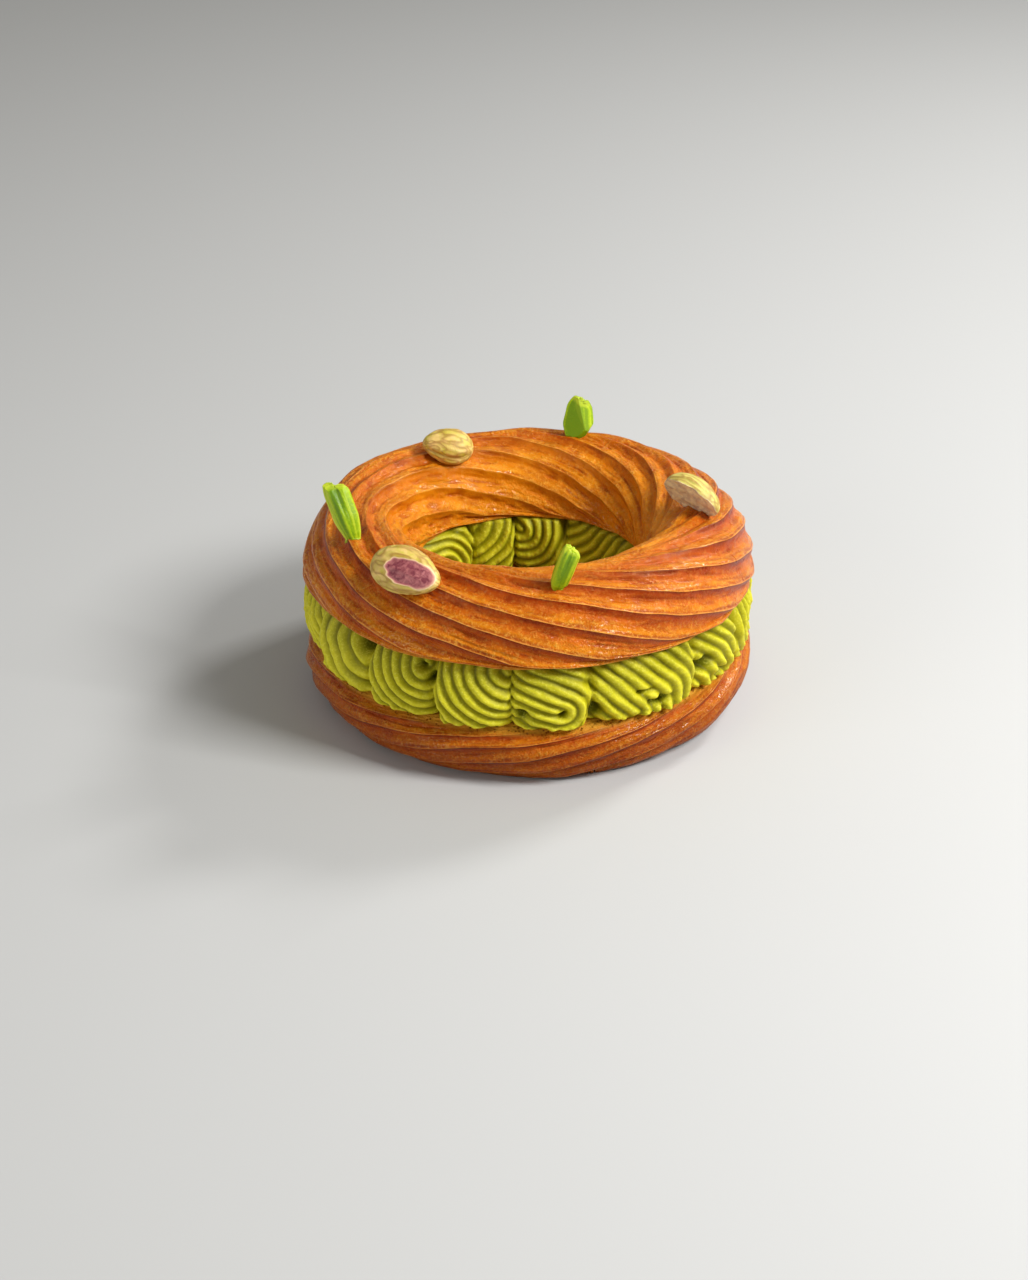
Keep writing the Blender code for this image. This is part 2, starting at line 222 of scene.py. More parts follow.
def ring_piece(name, stations, section, labels, rising):
    """section(u) gives (azimuth, radius, height, *marks) for each point. rising: do the crests climb?"""
    points, marks = [], []
    for i in range(stations):
        for u, r, z, *mark in section(2 * math.pi * i / stations - math.pi):
            points.append(around(u, r, z))
            marks.append(mark)
    rows = len(points) // stations
    faces = []
    for i in range(stations):
        here, after = i * rows, (i + 1) % stations * rows
        for j in range(rows):
            k = (j + 1) % rows
            a, b, c, d = here + j, after + j, after + k, here + k
            faces += [(a, b, c), (a, c, d)] if rising else [(a, b, d), (b, c, d)]
    return add_piece(name, points, faces, labels, marks)


def crossing(height, low, high):
    """The angle at which a height passes zero. It is below zero at the angle low and above it at high."""
    for _ in range(20):
        middle = (low + high) / 2
        if height(middle) < 0:
            low = middle
        else:
            high = middle
    return (low + high) / 2


def between(start, end, count):
    """Evenly spaced numbers from start to end, both included."""
    return [start + (end - start) * i / (count - 1) for i in range(count)]


def crest_angles(u, start, end, usual, count, turns):
    """Section angles from start to end, nearly even, with one of them exactly on each crest.

    Rows are counted between the usual ends, so that they stay the same where the true ends jump.
    """
    usual_start, usual_end = (math.radians(degrees) for degrees in usual)
    step = (usual_end - usual_start) / (count - 1)
    fixed = [(0, start)]
    first = math.ceil(ridge_phase(u, start, turns) / math.pi)
    last = math.floor(ridge_phase(u, end, turns) / math.pi)
    for n in range(first, last + 1):
        angle = crossing(lambda v: ridge_phase(u, v, turns) - n * math.pi, start, end)
        row = round((angle - usual_start) / step)
        if fixed[-1][0] < row < count - 1:
            fixed.append((row, angle))
    fixed.append((count - 1, end))
    angles = []
    for (row, angle), (next_row, next_angle) in zip(fixed, fixed[1:]):
        angles += between(angle, next_angle, next_row - row + 1)[:-1]
    return angles + [end]


def ridge_marks(u, v, phase, turns):
    """The phase as a point on a circle, which has no jump at a crest, and three more marks of the crust."""
    inner = smooth((math.degrees(v) - 75) / 70)
    return math.cos(2 * phase), math.sin(2 * phase), side_of(v), inner, along_ridges(u, phase, turns)


# %% [markdown]
# ## The lid
#
# The lid is a domed roll that curls under to its cut edge. Its section starts at the outer edge of the cut,
# goes over the dome to the inner edge, and comes back along the cut face, where the open crumb has small
# hollows. The angle where the roll meets the cut is found by halving, since noise moves it about.

# %% The lid
CRUST_STATIONS = 470
LID_ROWS = 190
LID_SPAN = (-32, 212)  # usual section angles of the lid's two edges, in degrees
LID_FACE_ROWS = 9
EDGE_WIDTH = math.radians(7)  # the strip at the edges that looks like crumb, and how much so
EDGE_CRUMB = 0.7
CRUMB_SIZE = 1.6 * MM
CRUMB_DEPTH = 0.5 * MM
CRUST_MARKS = ("wave_cos", "wave_sin", "side", "inner", "crease", "crumb")
ON_THE_CUT = (0.0,) * 5  # the first five marks, where there is no ridge


def crumb_relief(spot):
    """Depth of the open crumb at a cut face."""
    return CRUMB_DEPTH * max(noise.noise(spot / CRUMB_SIZE) + 0.25, 0.0)


def lid_roll(u, v, fine=False):
    """(radius, height) of the lid's roll at azimuth u and section angle v."""
    phase = ridge_phase(u, v, RIDGE_TURNS)
    lift = SEAM_TILT * RING_RADIUS * math.cos(u)
    rise = LID_DOME if math.sin(v) > 0 else LID_CURL
    fade = smooth(3 + 3.6 * math.sin(v))  # no relief where the lid curls under to its cut
    bump = RIDGE_HEIGHT * ridge(u, v, phase) * fade
    if fine:
        spot = around(u, RING_RADIUS + DOUGH_HALF_WIDTH * math.cos(v), LID_WIDEST_Z + rise * math.sin(v))
        bump += skin_relief(u, v, phase, RIDGE_TURNS, spot) * fade
    uneven = 1 + ROLL_UNEVENNESS * wander(u, v, 1.3, 3.0)
    r = RING_RADIUS + (DOUGH_HALF_WIDTH * uneven + bump) * math.cos(v)
    z = LID_WIDEST_Z + lift + (rise * uneven + bump) * math.sin(v)
    return r, z


def lid_section(u):
    def above_cut(v):
        r, z = lid_roll(u, v)
        return z - seam_height(u, r) - GAP

    start = crossing(above_cut, math.radians(-80), 0.0)
    end = crossing(above_cut, math.radians(260), math.radians(180))
    rows = []
    for v in crest_angles(u, start, end, LID_SPAN, LID_ROWS, RIDGE_TURNS):
        r, z = lid_roll(u, v, fine=start < v < end)
        edge = 1 - smooth(min(v - start, end - v) / EDGE_WIDTH)
        marks = ridge_marks(u, v, ridge_phase(u, v, RIDGE_TURNS), RIDGE_TURNS)
        rows.append((u, r, z, *marks, EDGE_CRUMB * edge))
    inner_r, outer_r = rows[-1][1], rows[0][1]
    for r in between(inner_r, outer_r, LID_FACE_ROWS + 2)[1:-1]:
        z = seam_height(u, r) + GAP
        rows.append((u, r, z + crumb_relief(around(u, r, z)), *ON_THE_CUT, 1.0))
    return rows


lid = ring_piece("lid_crust", CRUST_STATIONS, lid_section, CRUST_MARKS, rising=False)
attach(lid, "root")
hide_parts("choux_lid")

# %% [markdown]
# ## The base
#
# The base is the lower half of the same roll. Its ridges wind the other way, its underside is flat, and above
# it was cut open: a band of porous crumb shows between the crust and the foot of the cream. The section goes
# up the outer side, across the cut face, down the inner side and back under the base.

# %% The base
BASE_WALL_ROWS = 78
BASE_FACE_ROWS = 22
BASE_UNDER_ROWS = 4
BASE_OUTER_SPAN = (-70, 50)
BASE_INNER_SPAN = (130, 250)
SHOULDER_START = 0.42  # crumb begins to show here, as a share of the way up to the cut
SHOULDER_END = 0.72
END_MARGIN = 0.01  # radians: closer than this to the cut or the floor, the wall has no fine relief


def shoulder_crumb(up):
    return smooth((up - SHOULDER_START) / (SHOULDER_END - SHOULDER_START))


def base_roll(u, v, fine=False):
    """(radius, height, phase, share of the way up) of the base's roll."""
    squash = 2 / BASE_SQUARENESS
    out = math.copysign(abs(math.cos(v)) ** squash, math.cos(v))
    up = math.copysign(abs(math.sin(v)) ** squash, math.sin(v))
    rise = BASE_UPPER_BULGE if up > 0 else BASE_WIDEST_Z + BASE_BELOW_FLOOR
    phase = ridge_phase(u, v, -RIDGE_TURNS)
    # The ridges fade out towards the cut above and the underside below
    fade = smooth(1.2 - 1.6 * up) * smooth(6 + 6 * up)
    bump = RIDGE_HEIGHT * ridge(u, v, phase) * fade
    uneven = 1 + ROLL_UNEVENNESS * wander(u, v, 1.3, 11.0)
    if fine:
        spot = around(u, RING_RADIUS + DOUGH_HALF_WIDTH * out, BASE_WIDEST_Z + rise * up)
        bump += skin_relief(u, v, phase, -RIDGE_TURNS, spot) * smooth(4 + 4 * up)
        bump -= crumb_relief(spot) * shoulder_crumb(up)
    r = RING_RADIUS + (DOUGH_HALF_WIDTH * uneven + bump) * out
    z = BASE_WIDEST_Z + (rise * uneven + bump) * up
    return r, z, phase, up


def base_section(u):
    def height_over(level):
        return lambda v: base_roll(u, v)[1] - level

    def wall(start, end, usual):
        found = []
        for v in crest_angles(u, start, end, usual, BASE_WALL_ROWS, -RIDGE_TURNS):
            inside = min(v - start, end - v) > END_MARGIN
            r, z, phase, up = base_roll(u, v, fine=inside)
            marks = ridge_marks(u, v, phase, -RIDGE_TURNS)
            found.append((u, r, min(max(z, 0.0), BASE_CUT_Z), *marks, shoulder_crumb(up)))
        return found

    quarter, floor, cut = math.pi / 2, height_over(0.0), height_over(BASE_CUT_Z)
    outer = wall(crossing(floor, -0.99 * quarter, 0.0), crossing(cut, 0.0, quarter), BASE_OUTER_SPAN)
    inner = wall(
        crossing(cut, 2 * quarter, quarter), crossing(floor, 2.99 * quarter, 2 * quarter), BASE_INNER_SPAN
    )
    face, under = [], []
    for r in between(outer[-1][1], inner[0][1], BASE_FACE_ROWS + 2)[1:-1]:
        depth = crumb_relief(around(u, r, BASE_CUT_Z))
        face.append((u, r, BASE_CUT_Z - depth, *ON_THE_CUT, 1.0))
    for r in between(inner[-1][1], outer[0][1], BASE_UNDER_ROWS + 2)[1:-1]:
        under.append((u, r, 0.0, *ON_THE_CUT, 0.0))
    return outer + face + inner + under


base = ring_piece("base_crust", CRUST_STATIONS, base_section, CRUST_MARKS, rising=True)
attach(base, "root")
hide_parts("choux_base")

# %% [markdown]
# ## The cream
#
# The cream is piped as swirls side by side, and the nozzle's grooves curl round the point where each swirl
# was started, then run straight on. So a groove is a ripple of the distance to a ray: an arc round the ray's
# start, and two straight lines beside it. Each swirl is proudest at one edge, where it lies on its neighbour,
# and dark notches stay open between two swirls at their feet and tops. The swirls that the photograph shows
# were measured one by one, outside and in the hole, and the others follow a usual one.

# %% The swirls
# edge: the azimuth where a swirl starts. pivot: azimuth and height in mm of the ray's start. towards: the
# ray's direction, 0 along the ring and 90 up. pitch: from groove to groove.
Swirl = namedtuple("Swirl", "edge pivot towards pitch")
OUTER_MEASURED = (
    Swirl(-68, (-45, 27.0), 90, 4.2 * MM),
    Swirl(-45, (-27, 26.5), 90, 2.4 * MM),
    Swirl(-25, (-3.5, 29.0), 90, 2.45 * MM),
    Swirl(-4.5, (7.8, 18.6), 158, 2.4 * MM),
    Swirl(16, (28, 15.0), 135, 2.65 * MM),
    Swirl(48, (42, 10.0), 140, 2.6 * MM),
)
INNER_MEASURED = (
    Swirl(117, (170, 36.0), 90, 2.5 * MM),
    Swirl(161, (184.5, 25.0), 25, 2.3 * MM),
    Swirl(187, (222, 31.0), 60, 2.5 * MM),
    Swirl(210, (235, 17.0), 5, 2.2 * MM),
)
OUTER_END, OUTER_OTHERS = 66, 11  # where the measured ones end, and how many others follow
INNER_END, INNER_OTHERS = 248, 9
USUAL_PIVOT_HEIGHT = 26.5
USUAL_PITCH = 2.4 * MM
EDGE_STRAY = 1.8  # degrees


def whole_ring(measured, end, others):
    """The measured swirls, followed by usual ones that share out the rest of the ring."""
    left = measured[0].edge + 360 - end
    edges = [end + left * k / others + EDGE_STRAY * math.sin(2.4 * k) for k in range(others)]
    edges.append(measured[0].edge + 360)
    pairs = zip(edges, edges[1:])
    usual = [Swirl(start, (stop, USUAL_PIVOT_HEIGHT), 90, USUAL_PITCH) for start, stop in pairs]
    return [*measured, *usual]


OUTER_SWIRLS = whole_ring(OUTER_MEASURED, OUTER_END, OUTER_OTHERS)
INNER_SWIRLS = whole_ring(INNER_MEASURED, INNER_END, INNER_OTHERS)
print(len(OUTER_SWIRLS), "swirls outside and", len(INNER_SWIRLS), "in the hole")


def swirl_at(u, swirls):
    """(swirl, azimuth in its own count, share of its width) at azimuth u."""
    first = swirls[0].edge
    degrees = (math.degrees(u) - first) % 360 + first
    ends = [swirl.edge for swirl in swirls[1:]] + [first + 360]
    for swirl, end in zip(swirls, ends):
        if degrees < end:
            return swirl, degrees, (degrees - swirl.edge) / (end - swirl.edge)
    return swirls[0], first, 0.0


# %% [markdown]
# The relief of a swirl adds up its belly, its step over the neighbour, its grooves and its notches. To the
# solid's form come the hollows where a strand folded over itself, and the small tears of stiff cream. For the
# colour, each point is marked with its height on a rib and its depth in a hollow, which place painted shade
# in the grooves and the hollows.

# %% Relief of the swirls
CREAM_OUTER_RADIUS = 45.2 * MM
CREAM_INNER_RADIUS = 29.6 * MM
OUTER_SURFACE_RADIUS = 48.5 * MM  # where the grooves' distances are measured
INNER_SURFACE_RADIUS = 26.5 * MM
CREAM_BULGE = 3.6 * MM
SWIRL_STEP = 1.8 * MM
STEP_WIDTH = 0.14  # this and the next as shares of a swirl's width
NOTCH_WIDTH = 0.14
NOTCH_DEPTH = 2.8 * MM
GROOVE_SHARE = 0.4  # a groove's depth as a share of its pitch
WIDEST_GROOVE = 3.0 * MM  # a wider pitch has no deeper grooves than this one
RIB_FLATNESS = 2.5
RIB_EVEN, RIB_UNEVEN = 0.9, 0.5
CUT_AWAY = 1.5 * MM
# Under folded strands: azimuth in degrees, height, half width, half height and depth in mm
HOLLOWS = (
    (8.3, 18.0, 1.0, 0.8, 2.2), (17.4, 17.0, 1.2, 1.7, 3.8), (34.6, 16.8, 2.4, 1.0, 4.2),
    (30.0, 20.2, 1.8, 0.6, 2.2), (51.0, 20.0, 2.2, 1.5, 5.0), (58.5, 15.6, 2.2, 1.3, 3.0),
    (-46.5, 26.2, 1.8, 2.0, 4.0), (-28.0, 26.2, 1.2, 0.7, 2.2), (-25.6, 23.4, 0.8, 1.6, 3.0),
    (-24.0, 16.6, 1.4, 1.0, 2.4), (-1.6, 17.4, 1.3, 1.6, 2.6), (-46.5, 16.0, 1.3, 1.0, 1.8),
)
DARK_HOLLOW = 3.0 * MM  # the depth at which a hollow's painted shade is darkest
TEAR_SIZE = 0.9 * MM
TEAR_HEIGHT = 0.2 * MM


def hollow_depth(u, z):
    total = 0.0
    for degrees, height, half_width, half_height, depth in HOLLOWS:
        aside = (u - math.radians(degrees)) * OUTER_SURFACE_RADIUS / (half_width * MM)
        off = (z - height * MM) / (half_height * MM)
        total += depth * MM * math.exp(-(aside * aside + off * off))
    return total


def distance_to_ray(aside, off, towards):
    x, z = math.cos(math.radians(towards)), math.sin(math.radians(towards))
    run = max(aside * x + off * z, 0.0)
    return math.hypot(aside - run * x, off - run * z)


def swirl_relief(u, z, inner):
    """(how far the cream stands out, how high on a rib) at azimuth u and height z."""
    swirl, degrees, p = swirl_at(u, INNER_SWIRLS if inner else OUTER_SWIRLS)
    q = (z - BASE_CUT_Z + CUT_AWAY) / (SEAM_Z - BASE_CUT_Z + 2 * CUT_AWAY)
    ends = min(abs(2 * q - 1), 1.0)
    far = p if swirl.towards <= 90 else 1 - p
    step = smooth(far / STEP_WIDTH) * (1 - 0.65 * far * far) * smooth((1 - far) / 0.05)
    notch = math.exp(-((min(p, 1 - p) / NOTCH_WIDTH) ** 2)) * ends**1.5
    surface = INNER_SURFACE_RADIUS if inner else OUTER_SURFACE_RADIUS
    aside = math.radians(degrees - swirl.pivot[0]) * surface
    reach = distance_to_ray(aside, z - swirl.pivot[1] * MM, swirl.towards)
    phase = 2 * math.pi * reach / swirl.pitch + wander(u, 150 * z, 4.0, swirl.edge)
    groove = 1 - abs(math.sin(phase / 2)) ** RIB_FLATNESS
    proud = CREAM_BULGE * (1 - ends**2.6) ** 0.6 * (0.75 + 0.25 * step) + SWIRL_STEP * step
    uneven = RIB_EVEN + RIB_UNEVEN * wander(u, 90 * z, 7.0, 3.0 + swirl.edge)
    ribs = GROOVE_SHARE * min(swirl.pitch, WIDEST_GROOVE) * uneven * groove
    return proud + ribs - NOTCH_DEPTH * notch, groove


# %% [markdown]
# The section goes up the outer side, across the flat top, down the side that faces the hole, and back along
# the foot. At the very foot the cream is ragged, where it was torn off the nozzle.

# %% The cream
CREAM_STATIONS = 900
CREAM_OUTER_ROWS = 62
CREAM_INNER_ROWS = 40
CREAM_FLAT_ROWS = 2
CREAM_FOOT_Z = BASE_CUT_Z + GAP
FRAYED_HEIGHT = 2.5 * MM
FRAYED_DEPTH = 0.9 * MM


def cream_wall(u, start, end, rows, inner):
    radius, sign = (CREAM_INNER_RADIUS, -1) if inner else (CREAM_OUTER_RADIUS, 1)
    found = []
    for z in between(start, end, rows):
        relief, rib = swirl_relief(u, z, inner)
        spot = around(u, radius, z)
        relief += TEAR_HEIGHT * noise.noise(spot / TEAR_SIZE) * (0.4 + 0.6 * rib)
        frayed = smooth(1 - (z - CREAM_FOOT_Z) / FRAYED_HEIGHT)
        relief += FRAYED_DEPTH * frayed * noise.noise(spot / (1.4 * TEAR_SIZE))
        hollow = 0.0 if inner else hollow_depth(u, z)
        # The depth in a hollow is also kept as a mark for the painted shade there
        found.append((u, radius + sign * (relief - hollow), z, rib, hollow / DARK_HOLLOW))
    return found


def cream_section(u):
    top_outer = seam_height(u, CREAM_OUTER_RADIUS + CREAM_BULGE)
    top_inner = seam_height(u, CREAM_INNER_RADIUS - CREAM_BULGE)
    rows = cream_wall(u, CREAM_FOOT_Z, top_outer, CREAM_OUTER_ROWS, False)
    inner = cream_wall(u, top_inner, CREAM_FOOT_Z, CREAM_INNER_ROWS, True)
    top = between(rows[-1][1], inner[0][1], CREAM_FLAT_ROWS + 2)[1:-1]
    foot = between(inner[-1][1], rows[0][1], CREAM_FLAT_ROWS + 2)[1:-1]
    rows += [(u, r, seam_height(u, r), 0.5, 0.0) for r in top] + inner
    return rows + [(u, r, CREAM_FOOT_Z, 0.5, 0.0) for r in foot]


cream = ring_piece("piped_cream", CREAM_STATIONS, cream_section, ("rib", "sunk"), rising=False)
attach(cream, "root")
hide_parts("pistachio_cream")

# %% [markdown]
# ## Where the toppings stand
#
# Nuts that are pressed on a glazed lid settle between its ridges. A topping is therefore modelled on its own
# axes and carried to a seat on the lid, whose Z axis is the roll's normal. Where it would sink in, its points
# are pushed back out to the skin. A BVH tree finds the nearest skin quickly; trying all faces would be slow.

# %% Seats on the lid
SINK = 1.0 * MM
TOUCH = 0.06 * MM
lid_tree = BVHTree.FromObject(lid, bpy.context.evaluated_depsgraph_get())


def seat(u, v, heading, lean):
    """Local Z along the lid's normal and X at an angle to the ring's run. All angles are in degrees."""
    u, v = math.radians(u), math.radians(v)
    normal = Vector((math.cos(v) * math.sin(u), -math.cos(v) * math.cos(u), math.sin(v)))
    along = Vector((math.cos(u), math.sin(u), 0.0))
    turn = Matrix((along, normal.cross(along), normal)).transposed().to_4x4()
    spin = Matrix.Rotation(math.radians(heading), 4, "Z") @ Matrix.Rotation(math.radians(lean), 4, "Y")
    return Matrix.Translation(around(u, *lid_roll(u, v))) @ turn @ spin


def above(place, distance, tilt=0.0):
    """The same place, moved along its own Z and then turned about its own X, in degrees."""
    return place @ Matrix.Translation((0, 0, distance)) @ Matrix.Rotation(math.radians(tilt), 4, "X")


def out_of_lid(point):
    where, normal, _, _ = lid_tree.find_nearest(point)
    if (point - where).dot(normal) < TOUCH:
        return where + normal * TOUCH
    return point


# %% [markdown]
# ## Nut kernels
#
# A shelled kernel is an egg with one blunt end. Its skin dries into long wrinkles, it has a fold where its
# halves meet, and purple skin shows where the outer layer rubbed off. The one at the right is broken in half.
# An icosphere takes all of that as relief; a UV sphere's points would crowd at its poles.

# %% Kernels
FRONT_KERNEL = (17.8 * MM, 10.8 * MM, 7.6 * MM)  # length, width, thickness
BACK_KERNEL = (12.0 * MM, 9.2 * MM, 7.4 * MM)
RIGHT_KERNEL = (15.0 * MM, 10.2 * MM, 9.0 * MM)
# The rubbed spots: a direction from the kernel's middle, and a reach, as shares of its half sizes
FRONT_SPOT = (0.35, -0.35, 0.87, 0.66)
BACK_SPOT = (0.0, 0.0, -1.0, 0.3)
RIGHT_SPOT = (-0.9, 0.2, 0.3, 0.3)
KERNEL_MARKS = ("patch", "wrinkle", "broken", "fresh")
KERNEL_FINENESS = 6
FOLD_DEPTH = 0.10  # these four as shares of the radius
WRINKLE_DEPTH = 0.045
RUBBED_DEPTH = 0.06
RIM_HEIGHT = 0.03


def unit_sphere(fineness):
    build = bmesh.new()
    bmesh.ops.create_icosphere(build, subdivisions=fineness, radius=1.0)
    points = [vertex.co.copy() for vertex in build.verts]
    faces = [[vertex.index for vertex in face.verts] for face in build.faces]
    build.free()
    return points, faces


def kernel(name, node, size, place, spot, half=False):
    length, width, thickness = size
    seed = length / MM
    points, marks = [], []
    sphere, faces = unit_sphere(KERNEL_FINENESS)
    for x, y, z in sphere:
        taper = 1 - 0.16 * x - 0.06 * x * x
        swell = 1 + 0.05 * noise_at(1.5 * x, 4 * y, 4 * z + seed)
        fold = 1 - FOLD_DEPTH * math.exp(-((z - 0.1) / 0.16) ** 2) * smooth((y - 0.2) / 0.5)
        warp = 0.9 * noise_at(2 * x, 2 * y, 2 * z + seed)
        wrinkle = 1 - 2 * abs(noise_at(1.2 * x + warp, 3.6 * y + warp, 3.6 * z - seed))
        away = math.hypot(x - spot[0], y - spot[1], z - spot[2]) / spot[3]
        away += 0.12 * noise_at(5 * x, 5 * y, 5 * z + 2 * seed)
        # One side of the spot ends in a sharp rim, and the other fades out into the skin
        rubbed = 1 - smooth((away - 0.8) / (0.2 + 0.5 * smooth((x - spot[0]) / 0.4)))
        rim = math.exp(-(((rubbed - 0.25) / 0.25) ** 2)) * (away < 1.4)
        skin = 1 + WRINKLE_DEPTH * (wrinkle - 0.4) * (1 - rubbed) - RUBBED_DEPTH * rubbed + RIM_HEIGHT * rim
        girth = taper * swell * fold * skin
        wide, high = y * girth, z * girth
        broken = 0.0
        if half:
            face_z = -0.12 + 0.09 * noise_at(2.5 * x, 2.5 * y, 2.0)
            face_z += 0.03 * noise_at(9 * x, 9 * y, 5.0)
            broken = smooth((face_z + 0.05 - high) / 0.05)
            high = max(high, face_z)
        point = place @ Vector((x * length / 2, wide * width / 2, high * thickness / 2))
        points.append(out_of_lid(point))
        marks.append((rubbed, wrinkle, broken, float(half)))
    piece = add_piece(name, points, faces, KERNEL_MARKS, marks)
    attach(piece, "root")
    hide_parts(node)
    return piece


place = above(seat(-35, 62, -4, 0), FRONT_KERNEL[2] / 2 - SINK)
kernels = [kernel("nut_front", "kernel_front", FRONT_KERNEL, place, FRONT_SPOT)]
place = above(seat(-145, 110, -33, 0), BACK_KERNEL[2] / 2 - SINK)
kernels.append(kernel("nut_back", "kernel_back", BACK_KERNEL, place, BACK_SPOT))
# The half kernel lies on its edge, with the broken face towards the front
place = above(seat(82, 98, -125, 12), 0.88 * RIGHT_KERNEL[1] / 2 - SINK, -66)
kernels.append(kernel("nut_right", "kernel_right", RIGHT_KERNEL, place, RIGHT_SPOT, half=True))

# %% [markdown]
# ## Green nut slivers
#
# The slivers are bare green nut, split along its fibres, so they are fluted lengthwise and ragged at the top.
# A stack of rings, shaped by a few lobes and by noise that is long along Z, gives that form. Planes cut off
# what is broken away, and a cap closes both ends.

# %% Slivers
# foot: the width at the foot, and bend: how far the top leans aside, as shares of the width and the length.
# split: the place across, depth and half width of the split at the top, as shares of the width. facets: the
# planes of the breaks, each a direction, a distance in mm and how pale the break is. The last field: how pale
# the green is; the back sliver's lower value is a painted shade.
Sliver = namedtuple("Sliver", "length width thickness foot bend split facets paleness")
LEFT_SLIVER = Sliver(
    13.6 * MM, 5.4 * MM, 4.2 * MM, foot=0.62, bend=-0.03, split=(0.1, 0.42, 0.3),
    facets=((0.2, -0.5, 0.8, 10.9, 0.5),), paleness=0.3,
)
BACK_SLIVER = Sliver(
    9.8 * MM, 7.6 * MM, 5.6 * MM, foot=0.62, bend=0.06, split=(0.2, 0.0, 0.3),
    facets=((0.62, -0.68, 0.4, 3.9, 0.2), (-0.3, -0.95, 0.1, 1.7, 0.0), (0.8, -0.3, -0.3, 1.9, 0.0)),
    # lower than the others: a painted shade, as this sliver faces the light
    paleness=-0.2,
)
FRONT_SLIVER = Sliver(
    10.8 * MM, 4.3 * MM, 3.6 * MM, foot=0.86, bend=0.04, split=(-0.3, 0.14, 0.16),
    facets=((-0.6, -0.4, 0.7, 8.4, 0.3),), paleness=0.3,
)
SLIVER_RINGS = 70
SLIVER_SIDES = 112
CAP_RINGS = 5
SMALLEST_CAP_RING = 0.12
BREAK_SOFTNESS = 0.25 * MM
RAGGEDNESS = 0.03


def sliver(name, node, form, place, lobes):
    points, marks = [], []

    def add(s, angle, shrink):
        x, y = math.cos(angle), math.sin(angle)
        swell = form.foot + (1 - form.foot) * smooth(2.2 * s)
        swell *= (1 - 0.3 * max(5 * s - 4, 0.0) ** 2) * (0.78 + 0.22 * smooth(7 * s))
        at, depth, half_width = form.split
        opening = smooth((s - 0.35) / 0.65)
        split = opening * math.exp(-(((x - at) / (0.05 + half_width * opening)) ** 2))
        strand = noise_at(2.2 * x, 2.2 * y, 0.9 * s + lobes)
        fine = noise_at(7 * x, 7 * y, 1.6 * s + lobes)
        flute = 1 + 0.08 * math.cos(lobes * angle + 0.6) + 0.07 * strand + 0.03 * fine
        flute -= depth * split * smooth(-2 * y)
        near_top = smooth((s - 0.8) / 0.2)
        top = length * (s - 0.06 * near_top * x - 0.12 * depth * split * near_top)
        top += RAGGEDNESS * length * (strand + fine) * smooth((s - 0.75) / 0.25)
        across = swell * flute * x * shrink * form.width / 2 + form.bend * length * s * s
        point = Vector((across, swell * flute * y * shrink * form.thickness / 2, top))
        pale = max(1 - shrink, smooth((s - 0.92) / 0.08))
        for *direction, distance, paleness in form.facets:
            facing = Vector(direction).normalized()
            beyond = point.dot(facing) - distance * MM
            point -= facing * max(beyond, 0.0)
            pale = max(pale, paleness * smooth(beyond / BREAK_SOFTNESS))
        points.append(out_of_lid(place @ point))
        # The fibre mark is paler on the long edges, partly a painted highlight, and darker in the split, a
        # painted shade
        rim = smooth((abs(x) - 0.72) / 0.25)
        fibre = form.paleness + 0.9 * strand + 0.25 * fine + 0.6 * rim - 1.2 * depth * split
        marks.append((fibre, pale))

    length = form.length
    caps = between(SMALLEST_CAP_RING, 1.0, CAP_RINGS + 1)[:-1]
    rings = [(0.0, shrink) for shrink in caps]
    rings += [(s, 1.0) for s in between(0.0, 1.0, SLIVER_RINGS)]
    rings += [(1.0, shrink) for shrink in reversed(caps)]
    for s, shrink in rings:
        for j in range(SLIVER_SIDES):
            add(s, 2 * math.pi * j / SLIVER_SIDES, shrink)
    faces = []
    for i in range(len(rings) - 1):
        for j in range(SLIVER_SIDES):
            k = (j + 1) % SLIVER_SIDES
            low, high = i * SLIVER_SIDES, (i + 1) * SLIVER_SIDES
            faces.append((low + j, low + k, high + k, high + j))
    faces.append(tuple(reversed(range(SLIVER_SIDES))))
    faces.append(tuple(range(len(points) - SLIVER_SIDES, len(points))))
    piece = add_piece(name, points, faces, ("fibre", "tip"), marks)
    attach(piece, "root")
    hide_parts(node)
    return piece


place = above(seat(-64, 70, 68, 0), -SINK, -27)
slivers = [sliver("green_left", "sliver_left", LEFT_SLIVER, place, 4)]
place = above(seat(164, 84, 200, 8), -SINK)
slivers.append(sliver("green_back", "sliver_back", BACK_SLIVER, place, 3))
place = above(seat(8.5, 74, 5, 12), -SINK)
slivers.append(sliver("green_front", "sliver_front", FRONT_SLIVER, place, 3))

# %% [markdown]
# ## Building materials with nodes
#
# The materials are built from nodes in code. These small helpers make one node each and join it to what feeds
# it, so that a material reads like a recipe. An input may be a value, which is set, or another node's socket,
# which is linked.

# %% Node helpers
def feed(tree, socket, source):
    if isinstance(source, bpy.types.NodeSocket):
        tree.links.new(source, socket)
    elif source is not None:
        if socket.type == "RGBA" and len(source) == 3:
            source = (*source, 1.0)
        socket.default_value = source


def feed_all(tree, made, inputs):
    for name, source in inputs.items():
        feed(tree, made.inputs[name], source)


def node(tree, kind, inputs=None, **settings):
    made = tree.nodes.new("ShaderNode" + kind)
    for name, value in settings.items():
        setattr(made, name, value)
    feed_all(tree, made, inputs or {})
    return made


def calc(tree, operation, a, b=None, c=None):
    return node(tree, "Math", {0: a, 1: b, 2: c}, operation=operation).outputs[0]


def times(tree, a, b):
    return calc(tree, "MULTIPLY", a, b)


def blend(tree, share, first, second, how="MIX"):
    settings = {"data_type": "RGBA", "blend_type": how, "clamp_factor": True}
    return node(tree, "Mix", {0: share, 6: first, 7: second}, **settings).outputs[2]


def span(tree, value, low, high, to_low=0.0, to_high=1.0):
    """Moves a value from one range to another and holds it there."""
    inputs = {"Value": value, "From Min": low, "From Max": high, "To Min": to_low, "To Max": to_high}
    return node(tree, "MapRange", inputs, clamp=True).outputs["Result"]


